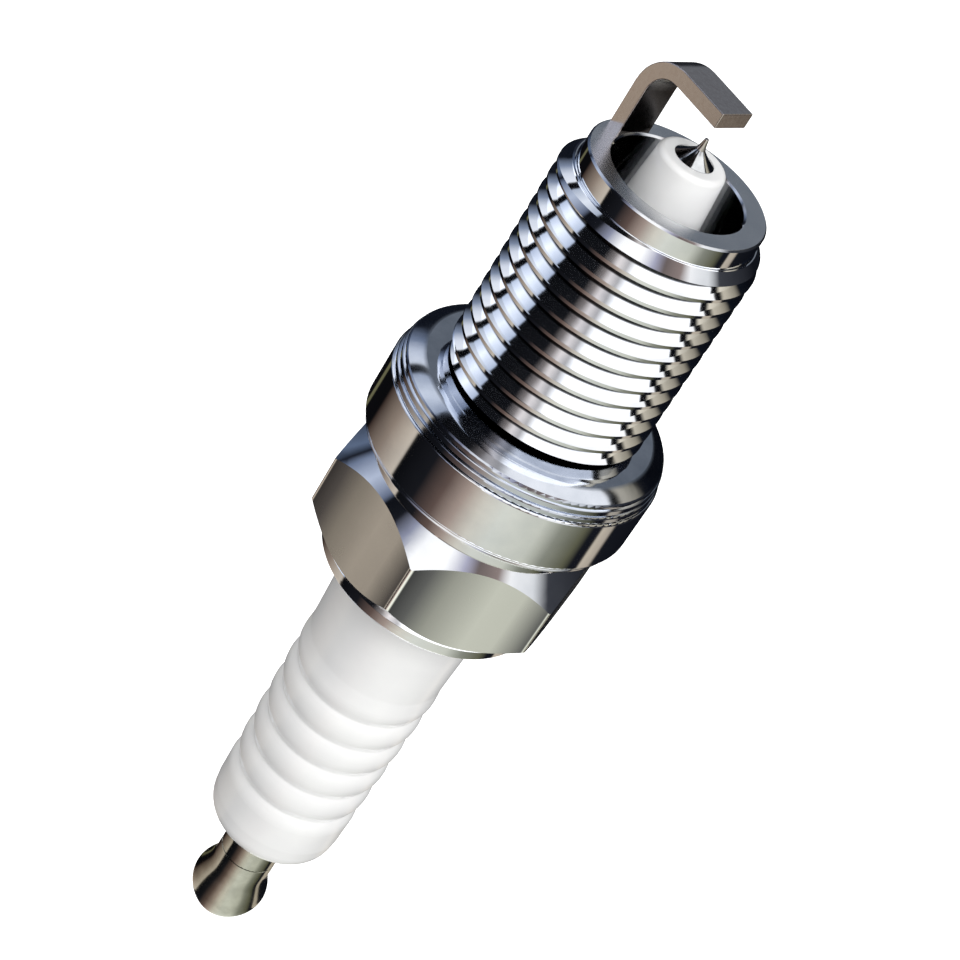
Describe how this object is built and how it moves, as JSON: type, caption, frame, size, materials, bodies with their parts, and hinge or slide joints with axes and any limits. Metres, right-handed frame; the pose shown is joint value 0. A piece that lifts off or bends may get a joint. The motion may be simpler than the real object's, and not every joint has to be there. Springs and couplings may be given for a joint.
{
  "type": "spark plug",
  "caption": "Spark plug with threaded shell, hexagon, folded gasket, ribbed ceramic insulator, screwed ball terminal and fine-wire electrode under a J-shaped ground strap.",
  "frame": {"origin": "on the plug's axis, in the plane of the shell's seat face under the gasket", "axes": "+Z along the plug's axis from the seat towards the firing end; X and Y across it, with the ground electrode's leg 147 degrees from +X"},
  "size_m": [0.019, 0.0194, 0.0762],
  "materials": {
    "plated_shell": "bright nickel plate on turned and rolled steel",
    "nickel_strap": "drawn nickel alloy strap, satin",
    "alumina_glazed": "clear glaze over white alumina, matt at the nose",
    "packing_steel": "soft steel sheet",
    "pressed_talc": "pressed talc powder",
    "nickel_electrode": "ground and polished nickel alloy",
    "copper_core": "drawn copper",
    "noble_metal": "bright noble-metal wire",
    "copper_glass": "fused copper and glass powder",
    "resistor_mix": "fused carbon, glass and ceramic",
    "plated_terminal": "bright nickel plate",
    "gasket_plate": "bright zinc plate on folded steel, blue-grey"
  },
  "bodies": {
    "plug": {"metal_shell": "plated_shell", "ground_electrode": "nickel_strap", "insulator": "alumina_glazed", "seat_packing": "packing_steel", "lower_packing_ring": "packing_steel", "talc_filling": "pressed_talc", "upper_packing_ring": "packing_steel", "centre_electrode": "nickel_electrode", "electrode_copper_core": "copper_core", "electrode_needle": "noble_metal", "lower_glass_seal": "copper_glass", "resistor_element": "resistor_mix", "upper_glass_seal": "copper_glass", "terminal_stud": "plated_terminal"},
    "nut": {"terminal_nut": "plated_terminal"},
    "gasket": {"sealing_gasket": "gasket_plate"}
  },
  "joints": [
    {"name": "terminal_nut_off", "type": "slide", "parent": "plug", "child": "nut", "axis": [0, 0, -1], "range_m": [0, 0.0055]},
    {"name": "gasket_float", "type": "slide", "parent": "plug", "child": "gasket", "axis": [0, 0, 1], "range_m": [0, 0.0003]}
  ]
}
